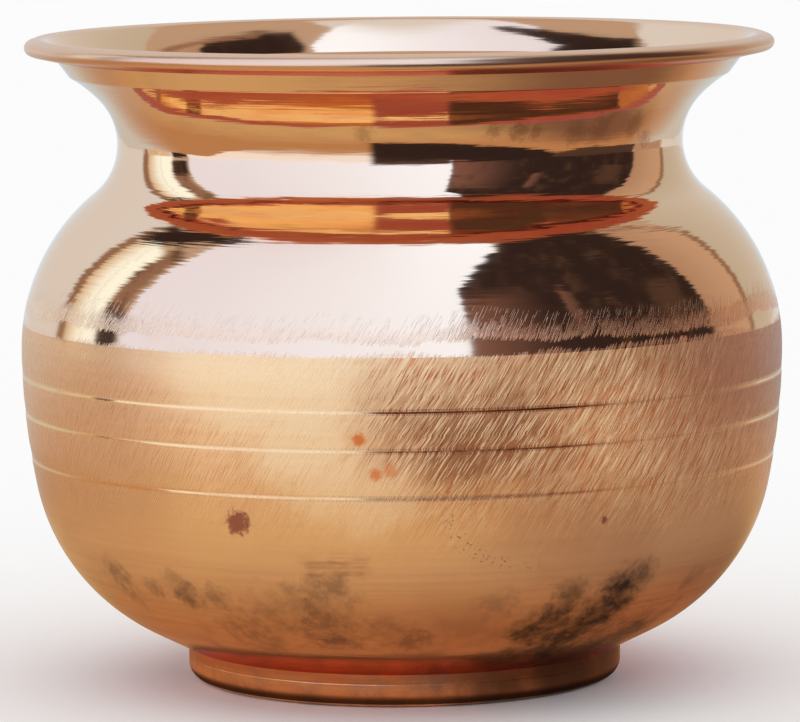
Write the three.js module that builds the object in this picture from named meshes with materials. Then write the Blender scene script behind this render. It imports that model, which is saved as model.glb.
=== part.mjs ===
// Copper lota: a spun bowl and a spun neck lapped and brazed above the belly, a wired lip at the mouth
// and a foot ring brazed under the bowl. Millimetres, +Z up, origin on the ground under the centre.
import * as THREE from 'three';

// Sheet and joints
const sheet = 0.6; // wall of the two spun shells
const brazeGap = 0.2; // room for filler between faces that are brazed together

// Foot ring
const footDiameter = 62.8;
const footHeight = 4.85; // ground to the belly, at the outside of the foot
const footWall = 0.8;
const footCornerRadius = 2.3; // outer round where the band turns in to the ground
const footTread = 2.3; // width of the flat ring that stands on the ground
const footLineDrop = 1.35; // scribed line below the top of the band
const footLineWidth = 0.4;
const footLineDepth = 0.12;
const footFilletLeg = 1.4; // filler fillet inside the foot, up the band and along the bowl
const footFilletHollow = 0.25; // how far the face of that fillet is hollowed

// Bowl
const bottomClearance = 2; // ground to the flat bottom
const bottomBendRadius = 12; // from the flat bottom to the cone
const coneAngle = 26.8; // cone over the foot, from the horizontal
const coneRun = 6.7; // straight cone outside the foot
const bellyDiameter = 110; // at the widest ring
const sideRadius = 99.6; // long arc just below the widest ring
const sideSweep = 11.5; // degrees of that arc
const grooveDrops = [15.45, 8.85, 3.45]; // turned grooves below the widest ring, along the side
const grooveWidth = 0.8;
const grooveDepth = 0.16;

// Seam between the shells, measured up the shoulder from the widest ring
const seamStart = 4;
const seamWidth = 2.4;
const seamHollow = 0.15; // depth of the filler's polished face at its middle
const seamEdge = 0.05; // and at its two edges
const lapLength = 4; // tongue of the bowl inside the neck, past the seam

// Neck and mouth
const shoulderRadius = 28.6;
const waistDepth = 14.2; // waist of the neck, in from the widest ring
const lowerCoveRadius = 9.3; // below the waist
const upperCoveRadius = 9.3; // above the waist
const flareAngle = 52.8; // straight flare, from the axis
const flareRun = 3.8;
const collarAngle = 38.8; // steeper collar under the lip, from the axis
const collarBendInside = 0.2; // inside radius of the crisp bend between flare and collar
const collarRun = 5.7; // collar, up into the crest of the lip

// Rolled lip and its wire
const crestBend = 1; // inside radius over the wire
const lipDroop = 21; // slope of the lip's top, below the horizontal
const lipRun = 0.75;
const tipBend = 0.4; // inside radius at the tip
const returnSlope = 12.5; // slope of the lip's underside
const hemGap = 0.25; // crease between the lip's raw edge and the collar
const wireDiameter = 0.9;
const wireGap = 0.2; // between the wire and the crest

// Facets
const facets = 48; // round the pot
const wireFacets = 8; // round the wire
const arcTolerance = 0.06; // how far a chord may leave its arc

const degrees = THREE.MathUtils.degToRad;
const footRadius = footDiameter / 2;
const bellyRadius = bellyDiameter / 2;
const cone = degrees(coneAngle);
const side = degrees(sideSweep);
const flare = degrees(flareAngle);
const collar = degrees(collarAngle);
const droop = degrees(lipDroop);
const quarter = Math.PI / 2;

// A line in the section, walked as a pen walks: straight runs and arcs, each tangent to the last.
// Distances run along the line, and an inset moves a point to the left of the way the pen goes.
class Outline {
  constructor(radius, height) {
    this.end = new THREE.Vector2(radius, height);
    this.heading = 0;
    this.length = 0;
    this.runs = [];
  }

  straight(length) {
    return this.add({ length, bend: 0, steps: 1 });
  }

  // A positive turn bends left, a negative one right.
  arc(radius, turn) {
    const step = 2 * Math.acos(1 - Math.min(arcTolerance / radius, 1));
    const steps = Math.max(1, Math.ceil(Math.abs(turn) / step));
    return this.add({ length: radius * Math.abs(turn), bend: Math.sign(turn) / radius, steps });
  }

  add(run) {
    this.runs.push({ ...run, from: this.length, point: this.end, heading: this.heading });
    this.length += run.length;
    this.heading += run.bend * run.length;
    this.end = this.at(this.length);
    return this;
  }

  at(distance, inset = 0) {
    const run = this.runs.findLast((each) => each.from <= distance) ?? this.runs[0];
    const walked = distance - run.from;
    const heading = run.heading + run.bend * walked;
    const left = new THREE.Vector2(-Math.sin(heading), Math.cos(heading));
    if (run.bend === 0) {
      const along = new THREE.Vector2(Math.cos(heading), Math.sin(heading));
      return run.point.clone().addScaledVector(along, walked).addScaledVector(left, inset);
    }
    const startLeft = new THREE.Vector2(-Math.sin(run.heading), Math.cos(run.heading));
    const centre = run.point.clone().addScaledVector(startLeft, 1 / run.bend);
    return centre.addScaledVector(left, inset - 1 / run.bend);
  }

  // The points between two distances, in walking order or back again.
  stretch(from, to, inset = 0) {
    const low = Math.min(from, to);
    const high = Math.max(from, to);
    const stops = [low];
    for (const run of this.runs) {
      for (let step = 0; step < run.steps; step += 1) {
        const stop = run.from + (run.length * step) / run.steps;
        if (stop > low && stop < high) stops.push(stop);
      }
    }
    stops.push(high);
    const points = stops.map((stop) => this.at(stop, inset));
    return from < to ? points : points.reverse();
  }

  // A stretch with shallow V grooves turned into it, the lowest groove first.
  grooved(from, to, grooves, width, depth) {
    const points = [];
    let start = from;
    for (const middle of grooves) {
      points.push(...this.stretch(start, middle - width / 2), this.at(middle, depth));
      start = middle + width / 2;
    }
    return [...points, ...this.stretch(start, to)];
  }
}

function copper(color, roughness) {
  return new THREE.MeshStandardMaterial({ color, roughness, metalness: 1 });
}

// Turns a section round the axis. Sections run up their outer side and down their inner one.
function turned(name, section, material) {
  const geometry = new THREE.LatheGeometry(section, facets);
  geometry.rotateX(quarter);
  const mesh = new THREE.Mesh(geometry, material);
  mesh.name = name;
  return mesh;
}

function closed(section) {
  return [...section, section[0]];
}

// The outside of the pot, from the middle of the bottom up to the rolled lip.
const bowlRadius =
  (bellyRadius - footRadius - coneRun * Math.cos(cone) - sideRadius * (1 - Math.cos(side))) /
  (Math.cos(side) - Math.sin(cone));
const shoulderSweep = Math.acos(1 - waistDepth / (shoulderRadius + lowerCoveRadius));
const bottomRise = footHeight - bottomClearance;
const bendTangent = bottomBendRadius * Math.tan(cone / 2);
const bottomRadius = footRadius - bottomRise / Math.tan(cone) - bendTangent;
const coneInsideFoot = bottomRise / Math.sin(cone) - bendTangent;

const pot = new Outline(0, bottomClearance)
  .straight(bottomRadius)
  .arc(bottomBendRadius, cone)
  .straight(coneInsideFoot + coneRun)
  .arc(bowlRadius, quarter - side - cone)
  .arc(sideRadius, side);
const widest = pot.length;
pot
  .arc(shoulderRadius, shoulderSweep)
  .arc(lowerCoveRadius, -shoulderSweep)
  .arc(upperCoveRadius, -flare)
  .straight(flareRun)
  .arc(sheet + collarBendInside, flare - collar)
  .straight(collarRun);
const crest = pot.length;
pot
  .arc(crestBend, collar - quarter - droop)
  .straight(lipRun)
  .arc(tipBend, droop + degrees(returnSlope) - Math.PI);
const lipReturn = pot.length;

// How far a face of the lip's underside runs before it comes within the crease of the collar.
const outOfCollar = new THREE.Vector2(Math.cos(collar), -Math.sin(collar));
function returnRun(inset) {
  const room = pot.at(lipReturn, inset).sub(pot.at(crest)).dot(outOfCollar) - hemGap;
  return room / -new THREE.Vector2(Math.cos(pot.heading), Math.sin(pot.heading)).dot(outOfCollar);
}
const rawEdgeInside = lipReturn + returnRun(0);
const rawEdgeOutside = lipReturn + returnRun(sheet);
pot.straight(rawEdgeOutside - lipReturn);

const seamLow = widest + seamStart;
const seamHigh = seamLow + seamWidth;

function neckShell() {
  const section = [
    ...pot.stretch(seamHigh, rawEdgeInside),
    ...pot.stretch(rawEdgeOutside, seamHigh - sheet, sheet),
  ];
  return turned('neck_shell', closed(section), copper(0xe3a983, 0.12));
}

// The bowl's edge steps in by one wall and the filler's room, and stands on as a tongue in the neck.
const tongueInset = sheet + brazeGap;

function bellyBowl() {
  const stepLead = sheet * Math.tan(Math.PI / 8);
  const tongueLow = seamLow + tongueInset;
  const tongueHigh = seamHigh + lapLength;
  const grooves = grooveDrops.map((drop) => widest - drop);
  const section = [
    ...pot.grooved(0, seamLow, grooves, grooveWidth, grooveDepth),
    ...pot.stretch(tongueLow, tongueHigh, tongueInset),
    ...pot.stretch(tongueHigh, tongueLow - stepLead, tongueInset + sheet),
    ...pot.stretch(seamLow - stepLead, 0, sheet),
  ];
  return turned('belly_bowl', section, copper(0xd09a68, 0.32));
}

function seamBraze() {
  const lead = brazeGap * Math.SQRT2;
  const depth = tongueInset - brazeGap;
  const section = [
    pot.at(seamLow + lead + seamEdge, seamEdge),
    pot.at((seamLow + seamHigh) / 2, seamHollow),
    pot.at(seamHigh - lead - seamEdge, seamEdge),
    pot.at(seamHigh - lead - depth, depth),
    pot.at(seamLow + lead + depth, depth),
  ];
  return turned('seam_braze', closed(section), copper(0xe0b184, 0.2));
}

function rimWire() {
  const wireRadius = wireDiameter / 2;
  const middle = pot.at(crest, -crestBend);
  const lift = crestBend - wireRadius - wireGap;
  const circle = new THREE.EllipseCurve(middle.x, middle.y + lift, wireRadius, wireRadius);
  return turned('rim_wire', circle.getPoints(wireFacets), copper(0xb87348, 0.4));
}

// Height of the bowl's underside over the foot, less the filler's room.
function underCone(radius) {
  return footHeight - (footRadius - radius) * Math.tan(cone) - brazeGap / Math.cos(cone);
}

function footRing() {
  const bandTop = underCone(footRadius);
  const band = new Outline(footRadius - footCornerRadius - footTread, 0)
    .straight(footTread)
    .arc(footCornerRadius, quarter)
    .straight(bandTop - footCornerRadius);
  const innerTop = band.length - footWall * Math.tan(cone);
  const section = [
    ...band.grooved(0, band.length, [band.length - footLineDrop], footLineWidth, footLineDepth),
    ...band.stretch(innerTop, 0, footWall),
  ];
  return turned('foot_ring', closed(section), copper(0xc07a4a, 0.28));
}

function footBraze() {
  const radius = footRadius - footWall - brazeGap;
  const corner = new THREE.Vector2(radius, underCone(radius));
  const onBand = corner.clone().add(new THREE.Vector2(0, -footFilletLeg));
  const alongCone = new THREE.Vector2(-Math.cos(cone), -Math.sin(cone));
  const onBowl = corner.clone().addScaledVector(alongCone, footFilletLeg);
  const middle = onBand.clone().add(onBowl).multiplyScalar(0.5);
  const inward = corner.clone().sub(middle).setLength(footFilletHollow);
  const section = [onBand, corner, onBowl, middle.add(inward)];
  return turned('foot_braze', closed(section), copper(0xc9a07a, 0.45));
}

const lota = new THREE.Group();
lota.name = 'lota';
lota.add(neckShell(), bellyBowl(), seamBraze(), rimWire(), footRing(), footBraze());

export default lota;
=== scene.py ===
"""Copper lota: spun shells, a wired lip, brazed joints and a foot ring, on a studio stage."""
import math

import bmesh
import bpy
from bpy.props import FloatProperty, FloatVectorProperty, PointerProperty
from mathutils import Matrix, Vector


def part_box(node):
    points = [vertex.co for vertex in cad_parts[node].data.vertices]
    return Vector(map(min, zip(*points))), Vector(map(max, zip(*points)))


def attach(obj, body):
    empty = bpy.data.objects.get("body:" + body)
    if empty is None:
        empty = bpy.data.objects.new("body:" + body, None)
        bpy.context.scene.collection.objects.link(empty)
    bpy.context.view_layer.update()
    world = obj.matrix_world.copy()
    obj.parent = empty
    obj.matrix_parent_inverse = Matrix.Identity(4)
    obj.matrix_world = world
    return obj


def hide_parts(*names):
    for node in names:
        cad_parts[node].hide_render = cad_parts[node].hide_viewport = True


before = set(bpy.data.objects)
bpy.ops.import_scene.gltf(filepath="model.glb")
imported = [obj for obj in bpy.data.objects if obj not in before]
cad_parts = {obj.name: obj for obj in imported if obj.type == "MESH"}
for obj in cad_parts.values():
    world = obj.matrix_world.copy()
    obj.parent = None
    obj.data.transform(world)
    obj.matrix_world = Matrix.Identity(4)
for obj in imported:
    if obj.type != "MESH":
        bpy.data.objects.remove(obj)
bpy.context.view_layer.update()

bl_info = {
    "name": "Copper Lota",
    "version": (1, 0, 0),
    "blender": (4, 5, 0),
    "location": "View3D > Sidebar > Lota",
    "description": "Builds a copper water pot from spun and brazed pieces, with its finishes and stage",
    "category": "Add Mesh",
}

MM = 0.001
QUARTER = math.pi / 2
ROUND_STEPS = 256
ARC_TOLERANCE = 0.004 * MM
MERGE_DISTANCE = 0.0005 * MM
SHARP_ANGLE = math.radians(30)


def width_of(node):
    """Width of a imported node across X, in metres."""
    low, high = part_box(node)
    return high.x - low.x


def length(name, description, millimetres):
    """A length that is set in millimetres and kept in metres."""
    return FloatProperty(
        name=name, description=description, default=millimetres * MM,
        min=0.0, precision=5, unit="LENGTH", subtype="DISTANCE",
    )


def angle(name, description, degrees):
    """An angle that is set in degrees and kept in radians."""
    return FloatProperty(
        name=name, description=description, default=math.radians(degrees), unit="ROTATION", subtype="ANGLE",
    )


def colour(name, description, red, green, blue):
    """A linear colour. Light may be brighter than white."""
    return FloatVectorProperty(
        name=name, description=description, default=(red, green, blue),
        min=0.0, soft_max=1.0, subtype="COLOR",
    )


class LotaShells(bpy.types.PropertyGroup):
    """Outline of the two spun shells."""

    sheet: length("Sheet", "Wall of the two shells", 0.6)
    belly_diameter: length("Belly diameter", "At the widest ring", width_of("belly_bowl") / MM)
    bottom_clearance: length("Bottom clearance", "Ground to the flat bottom", 2.0)
    bottom_bend: length("Bottom bend", "Radius from the flat bottom to the cone", 12.0)
    cone_angle: angle("Cone angle", "Cone over the foot, from the horizontal", 26.8)
    cone_run: length("Cone run", "Straight cone outside the foot", 6.7)
    side_radius: length("Side radius", "Long arc below the widest ring", 99.6)
    side_sweep: angle("Side sweep", "How far that arc turns", 11.5)
    shoulder_radius: length("Shoulder radius", "Arc above the widest ring", 28.6)
    waist_depth: length("Waist depth", "Waist of the neck, in from the widest ring", 14.2)
    lower_cove: length("Lower cove", "Radius below the waist", 9.3)
    upper_cove: length("Upper cove", "Radius above the waist", 9.3)
    flare_angle: angle("Flare angle", "Straight flare, from the axis", 52.8)
    flare_run: length("Flare run", "Length of the flare beyond the cove", 3.8)
    flare_start: angle("Flare start", "Where the cove opens into the flare, from the axis", 44.0)
    collar_angle: angle("Collar angle", "Steeper collar under the lip, from the axis", 38.8)
    collar_bend: length("Collar bend", "Inside radius between flare and collar", 0.2)
    collar_run: length("Collar run", "Collar, up into the crest of the lip", 5.7)
    collar_bow: angle("Collar bow", "How far the collar bends outwards on its way up", 6.0)
    groove_drops: FloatVectorProperty(
        name="Groove drops", description="Turned grooves below the widest ring, along the side",
        default=(15.45 * MM, 8.85 * MM, 3.45 * MM), unit="LENGTH",
    )
    groove_width: length("Groove width", "Across the burnished flank of each groove", 0.55)
    groove_depths: FloatVectorProperty(
        name="Groove depths", description="Into the wall, from the lowest groove up",
        default=(0.11 * MM, 0.08 * MM, 0.05 * MM), unit="LENGTH", precision=5,
    )
    groove_fade: length("Groove fade", "From the deepest line up to the wall", 1.8)


class LotaLip(bpy.types.PropertyGroup):
    """Rolled lip and the wire in it."""

    crest_bend: length("Crest bend", "Inside radius over the wire", 1.0)
    droop: angle("Droop", "Slope of the lip's top", 21.0)
    top_run: length("Top run", "Straight part of the lip's top", 0.75)
    tip_bend: length("Tip bend", "Inside radius at the tip", 0.4)
    return_slope: angle("Return slope", "Slope of the lip's underside", 12.5)
    hem_gap: length("Hem gap", "Crease between the lip's raw edge and the collar", 0.15)
    wire_diameter: length("Wire diameter", "Wire that the lip is rolled over", 0.9)
    wire_gap: length("Wire gap", "Between the wire and the crest", 0.2)


class LotaJoints(bpy.types.PropertyGroup):
    """Brazed seam between the shells and the fillet in the foot."""

    seam_start: length("Seam start", "Up the shoulder from the widest ring", 4.0)
    seam_width: length("Seam width", "Belt of filler between the shells", 2.4)
    lap_length: length("Lap length", "Tongue of the bowl inside the neck", 4.0)
    braze_gap: length("Braze gap", "Room for filler between brazed faces", 0.2)
    fillet_leg: length("Fillet leg", "Fillet in the foot, up the band and along the bowl", 1.6)
    fillet_hollow: length("Fillet hollow", "How far the fillet's face is hollowed", 0.25)


class LotaFoot(bpy.types.PropertyGroup):
    """Foot ring."""

    diameter: length("Foot diameter", "Outside of the band", width_of("foot_ring") / MM)
    height: length("Foot height", "Ground to the bowl, at the outside", 4.85)
    wall: length("Foot wall", "Thickness of the band", 0.8)
    corner: length("Foot corner", "Outer round at the ground", 2.3)
    tread: length("Foot tread", "Flat ring on the ground", 2.3)
    line_drop: length("Line drop", "Scribed line below the top of the band", 1.35)
    line_width: length("Line width", "Across the scribed line", 0.3)
    line_depth: length("Line depth", "Into the band", 0.02)


class LotaFinish(bpy.types.PropertyGroup):
    """Colours of the copper, of what time has done to it, and of painted light and shade on it."""

    copper: colour("Copper", "Clean polished copper", 0.93, 0.60, 0.42)
    rosy: colour("Rosy copper", "Thin film on the polished copper", 0.90, 0.56, 0.37)
    brushed: colour("Brushed copper", "Copper on the ridges that the wire brush left", 1.0, 0.62, 0.33)
    scratched: colour("Scratched copper", "Copper in the scratches", 0.72, 0.25, 0.10)
    handled: colour("Handled copper", "Redder film on the lip", 0.80, 0.46, 0.31)
    # Painted highlight where the satin belly would catch the window, also laid on bright stroke ridges.
    painted_highlight: colour("Worn copper", "Pale patch that the brush has worn smooth", 0.96, 0.67, 0.39)
    golden: colour("Golden copper", "Below the brushed belt", 0.86, 0.50, 0.245)
    # Painted shade, laid mostly in the scratches, where the satin would mirror the dark board in front.
    painted_shade: colour("Shaded copper", "Deep scratches in the darkest patch", 0.40, 0.15, 0.065)
    edge: colour("Edge", "Tint of copper that is seen at a grazing angle", 0.95, 0.82, 0.72)
    deepening: colour("Deepening", "Tint of copper that is seen mirrored in copper", 1.05, 0.98, 0.45)
    reddening: colour("Reddening", "The same where a film lies on it", 0.96, 0.58, 0.36)
    browning: colour("Browning", "Tint of copper that is mirrored more than once", 0.82, 0.54, 1.10)
    # Painted shade on the dark right side of the belly, browner towards its left edge, also laid where the
    # heat tint spots are.
    shade_and_heat_tint: colour("Aged copper", "Brown film at the right", 0.45, 0.18, 0.105)
    orange_film: colour("Orange film", "Thin film on the lower bowl", 0.97, 0.53, 0.30)
    tarnish: colour("Tarnish", "Brown film in patches", 0.29, 0.155, 0.105)
    # Also laid on the foot's right side as painted shade.
    soot_and_shade: colour("Soot", "Dark smudge", 0.06, 0.045, 0.038)
    red_stain: colour("Red stain", "Oxide spots", 0.36, 0.12, 0.065)
    orange_stain: colour("Orange stain", "Heat spots", 0.78, 0.22, 0.05)
    foot: colour("Foot copper", "Copper of the foot", 0.95, 0.50, 0.28)
    foot_red: colour("Foot red", "Red oxide at the top of the foot", 0.72, 0.25, 0.13)
    filler: colour("Filler", "Brazing filler", 0.80, 0.62, 0.44)


class LotaStudio(bpy.types.PropertyGroup):
    """Camera, floor and the cards that the polished copper mirrors."""

    camera_distance: length("Camera distance", "From the pot's axis, along the floor", 797.0)
    camera_height: length("Camera height", "Over the floor", 134.38)
    camera_pitch: angle("Camera pitch", "Down from the horizontal", 6.35)
    camera_roll: angle("Camera roll", "Turn of the picture", -0.519)
    focal_length: FloatProperty(
        name="Focal length", description="On a 36 mm frame", default=248.84, unit="CAMERA",
    )
    picture_width: FloatProperty(name="Picture width", description="In pixels", default=800.0)
    picture_nudge: FloatProperty(name="Picture nudge", description="Pixels to the right", default=1.99)
    floor_radius: length("Floor radius", "Of the pale floor", 6000.0)
    card_distance: length("Card distance", "From the pot to the standing cards", 1500.0)
    board_front: length("Board front", "Front edge of the tan board, from the axis", 158.0)
    board_left: length("Board left", "Its left edge, from the axis", 650.0)
    board_right: length("Board right", "Its right edge, from the axis", 400.0)
    board_far: length("Board far edge", "Its back edge, from the axis", 650.0)
    board_turn: angle("Board turn", "Turn of the tan board", -5.0)
    floor: colour("Floor", "Pale floor", 0.97, 0.97, 0.97)
    key: colour("Key panel", "Cool soft light at the left", 0.88, 1.15, 1.58)
    key_front: colour("Key panel front", "The same panel in front of the pot", 1.08, 1.56, 2.15)
    top: colour("Top panel", "Overhead", 0.54, 0.49, 0.41)
    back: colour("Back panel", "Pale panel behind", 0.76, 0.96, 1.12)
    back_right: colour("Back panel right", "Its right side", 0.58, 0.66, 0.62)
    cream: colour("Cream panel", "Bright strip at the left", 1.08, 1.50, 1.65)
    gold: colour("Gold panel", "Beside the cream strip", 0.72, 0.66, 0.47)
    brown: colour("Brown strip", "Edges of the panels", 0.30, 0.21, 0.15)
    flag: colour("Dark flag", "Dark cloth at the right", 0.032, 0.023, 0.022)
    flag_warm: colour("Warm flag", "Where that cloth catches light", 0.21, 0.125, 0.105)
    flag_lit: colour("Lit flag", "Lit folds of that cloth", 0.085, 0.058, 0.045)
    tan: colour("Tan panel", "At the far right", 0.47, 0.36, 0.27)
    tan_edge: colour("Tan panel edge", "Its paler side", 0.60, 0.50, 0.38)
    board: colour("Board", "Tan board that the pot stands on", 0.64, 0.49, 0.25)
    board_near: colour("Board near the foot", "Where only the pot lights it", 0.42, 0.20, 0.11)
    # Painted contact shadow on the board, in the crack under the foot.
    board_contact_shadow: colour("Board under the foot", "In the crack under the foot", 0.05, 0.025, 0.015)
    board_back: colour("Board behind", "Where it mirrors the back panel", 0.64, 0.82, 0.92)
    board_shade: colour("Board shade", "In the shadow of the pot", 0.22, 0.13, 0.085)
    veil: colour("Veil", "Haze on a card where two walls of the pot mirror it", 0.9, 0.9, 1.9)
    glow: colour("Glow", "Haze on the board and the low flags there", 0.42, 0.21, 0.40)
    far_floor: colour("Far floor", "Bright floor in front, beyond the board", 0.98, 1.16, 1.30)
    near_floor: colour("Near floor", "Dim floor at the edge of the board", 0.52, 0.32, 0.16)


class LotaSettings(bpy.types.PropertyGroup):
    """Everything that a user would change."""

    shells: PointerProperty(type=LotaShells)
    lip: PointerProperty(type=LotaLip)
    joints: PointerProperty(type=LotaJoints)
    foot: PointerProperty(type=LotaFoot)
    finish: PointerProperty(type=LotaFinish)
    studio: PointerProperty(type=LotaStudio)


class Outline:
    """A line in the section, walked as a pen walks: straight runs and arcs, each tangent to the last.

    Distances run along the line, and an inset moves a point to the left of the way the pen goes.
    """

    def __init__(self, radius, height):
        self.end = Vector((radius, height))
        self.heading = 0.0
        self.length = 0.0
        self.runs = []

    def straight(self, distance):
        return self.add(distance, 0.0)

    def arc(self, radius, turn):
        """A positive turn bends left, a negative one right."""
        return self.add(radius * abs(turn), math.copysign(1 / radius, turn))

    def add(self, distance, bend):
        left = Vector((-math.sin(self.heading), math.cos(self.heading)))
        run = {"start": self.length, "stop": self.length + distance, "bend": bend, "heading": self.heading}
        run["point"] = self.end
        run["centre"] = self.end + left / bend if bend else None
        self.runs.append(run)
        self.length += distance
        self.heading += bend * distance
        self.end = self.at(self.length)
        return self

    def at(self, distance, inset=0.0):
        run = next((each for each in reversed(self.runs) if each["start"] <= distance), self.runs[0])
        walked = distance - run["start"]
        heading = run["heading"] + run["bend"] * walked
        left = Vector((-math.sin(heading), math.cos(heading)))
        if run["bend"]:
            return run["centre"] + left * (inset - 1 / run["bend"])
        along = Vector((math.cos(heading), math.sin(heading)))
        return run["point"] + along * walked + left * inset


class Section:
    """A section in the XZ plane, drawn with bmesh operators and then spun round the axis.

    The vertex layer "along" keeps how far each point lies up the pot from the widest ring.
    """

    def __init__(self):
        self.mesh = bmesh.new()
        self.along = self.mesh.verts.layers.float.new("along")
        self.first = None
        self.last = None

    def to(self, point, along=0.0):
        """Draws a straight line to a point, or starts there."""
        place = Vector((point.x, 0.0, point.y))
        if self.last is None:
            self.first = self.last = self.mesh.verts.new(place)
        elif (self.last.co - place).length > MERGE_DISTANCE:
            drawn = bmesh.ops.extrude_vert_indiv(self.mesh, verts=[self.last])
            self.last = drawn["verts"][0]
            self.last.co = place
        self.last[self.along] = along
        return self.last

    def round(self, centre, turn, start, stop):
        """Draws an arc from the last point about a centre."""
        pivot = Vector((centre.x, 0.0, centre.y))
        radius = (self.last.co - pivot).length
        step = 2 * math.acos(1 - min(ARC_TOLERANCE / radius, 1.0))
        steps = max(4, math.ceil(abs(turn) / step))
        known = len(self.mesh.verts)
        bmesh.ops.spin(
            self.mesh, geom=[self.last], cent=pivot, axis=(0, -1, 0), dvec=(0, 0, 0),
            angle=turn, steps=steps,
        )
        self.mesh.verts.ensure_lookup_table()
        for number, vert in enumerate(self.mesh.verts[known:], 1):
            vert[self.along] = start + (stop - start) * number / steps
            self.last = vert

    def follow(self, outline, start, stop, inset=0.0, datum=0.0):
        """Draws a stretch of an outline, in walking order or back again."""
        runs = outline.runs if start < stop else outline.runs[::-1]
        low, high = min(start, stop), max(start, stop)
        for run in runs:
            ends = [max(run["start"], low), min(run["stop"], high)]
            if ends[1] - ends[0] < MERGE_DISTANCE:
                continue
            if start > stop:
                ends.reverse()
            begin, finish = ends
            self.to(outline.at(begin, inset), begin - datum)
            if run["bend"]:
                self.round(run["centre"], (finish - begin) * run["bend"], begin - datum, finish - datum)
            else:
                self.to(outline.at(finish, inset), finish - datum)

    def ease(self, corners, offset, segments):
        """Rounds corners of the section."""
        bmesh.ops.bevel(
            self.mesh, geom=corners, offset=offset, offset_type="OFFSET", affect="VERTICES",
            segments=segments, profile=0.5, material=-1, clamp_overlap=True,
        )

    def spun(self, name, closes=True):
        """Spins the section into a closed solid and returns its mesh."""
        if closes:
            self.mesh.edges.new((self.last, self.first))
        bmesh.ops.spin(
            self.mesh, geom=self.mesh.verts[:] + self.mesh.edges[:], cent=(0, 0, 0), axis=(0, 0, 1),
            dvec=(0, 0, 0), angle=math.tau, steps=ROUND_STEPS, use_merge=True,
        )
        bmesh.ops.remove_doubles(self.mesh, verts=self.mesh.verts[:], dist=MERGE_DISTANCE)
        bmesh.ops.recalc_face_normals(self.mesh, faces=self.mesh.faces[:])
        for face in self.mesh.faces:
            face.smooth = True
        for edge in self.mesh.edges:
            edge.smooth = edge.calc_face_angle(0.0) < SHARP_ANGLE
        data = bpy.data.meshes.new(name)
        self.mesh.to_mesh(data)
        self.mesh.free()
        return data


class Pot:
    """The outside of the pot, from the middle of the bottom to the rolled lip, and marks on that line."""

    def __init__(self, settings):
        shells, lip, joints, foot = settings.shells, settings.lip, settings.joints, settings.foot
        cone, side = shells.cone_angle, shells.side_sweep
        flare, collar = shells.flare_angle, shells.collar_angle
        belly_radius, foot_radius = shells.belly_diameter / 2, foot.diameter / 2
        cone_reach = shells.cone_run * math.cos(cone)
        side_reach = shells.side_radius * (1 - math.cos(side))
        bowl_reach = belly_radius - foot_radius - cone_reach - side_reach
        bowl_radius = bowl_reach / (math.cos(side) - math.sin(cone))
        shoulder_sweep = math.acos(1 - shells.waist_depth / (shells.shoulder_radius + shells.lower_cove))
        bottom_rise = foot.height - shells.bottom_clearance
        bend_tangent = shells.bottom_bend * math.tan(cone / 2)
        bottom_radius = foot_radius - bottom_rise / math.tan(cone) - bend_tangent
        cone_inside_foot = bottom_rise / math.sin(cone) - bend_tangent

        line = Outline(0.0, shells.bottom_clearance)
        line.straight(bottom_radius).arc(shells.bottom_bend, cone)
        line.straight(cone_inside_foot + shells.cone_run)
        line.arc(bowl_radius, QUARTER - side - cone).arc(shells.side_radius, side)
        self.widest = line.length
        line.arc(shells.shoulder_radius, shoulder_sweep).arc(shells.lower_cove, -shoulder_sweep)
        start = shells.flare_start
        cove_reach = Vector((math.cos(start) - math.cos(flare), math.sin(flare) - math.sin(start)))
        flare_reach = Vector((math.sin(flare), math.cos(flare))) * shells.flare_run
        reach = cove_reach * shells.upper_cove + flare_reach
        trumpet = 2 * (math.atan2(reach.x, reach.y) - start)
        line.arc(shells.upper_cove, -start).arc(reach.length / (2 * math.sin(trumpet / 2)), -trumpet)
        half_bow = shells.collar_bow / 2
        line.arc(shells.sheet + shells.collar_bend, start + trumpet - collar + half_bow)
        line.arc(shells.collar_run / shells.collar_bow, -shells.collar_bow)
        self.crest = line.length
        line.arc(lip.crest_bend, collar + half_bow - QUARTER - lip.droop).straight(lip.top_run)
        line.arc(lip.tip_bend, lip.droop + lip.return_slope - math.pi)
        lip_return = line.length
        out_of_collar = Vector((math.cos(collar), -math.sin(collar)))
        way_back = Vector((math.cos(line.heading), math.sin(line.heading)))

        def return_run(inset):
            room = (line.at(lip_return, inset) - line.at(self.crest)).dot(out_of_collar) - lip.hem_gap
            return room / -way_back.dot(out_of_collar)

        self.raw_edge_inside = lip_return + return_run(0.0)
        self.raw_edge_outside = lip_return + return_run(shells.sheet)
        line.straight(self.raw_edge_outside - lip_return)
        self.line = line
        self.seam_low = self.widest + joints.seam_start
        self.seam_high = self.seam_low + joints.seam_width
        self.cone = cone
        self.foot_radius = foot_radius
        self.foot_height = foot.height

    def under_cone(self, radius):
        """Height of the bowl's underside over the foot."""
        return self.foot_height - (self.foot_radius - radius) * math.tan(self.cone)


def add_piece(context, name, section, material, node, closes=True):
    """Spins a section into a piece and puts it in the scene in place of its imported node."""
    data = section.spun(name, closes)
    data.materials.append(material)
    piece = bpy.data.objects.new(name, data)
    context.scene.collection.objects.link(piece)
    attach(piece, "root")
    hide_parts(node)


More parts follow.
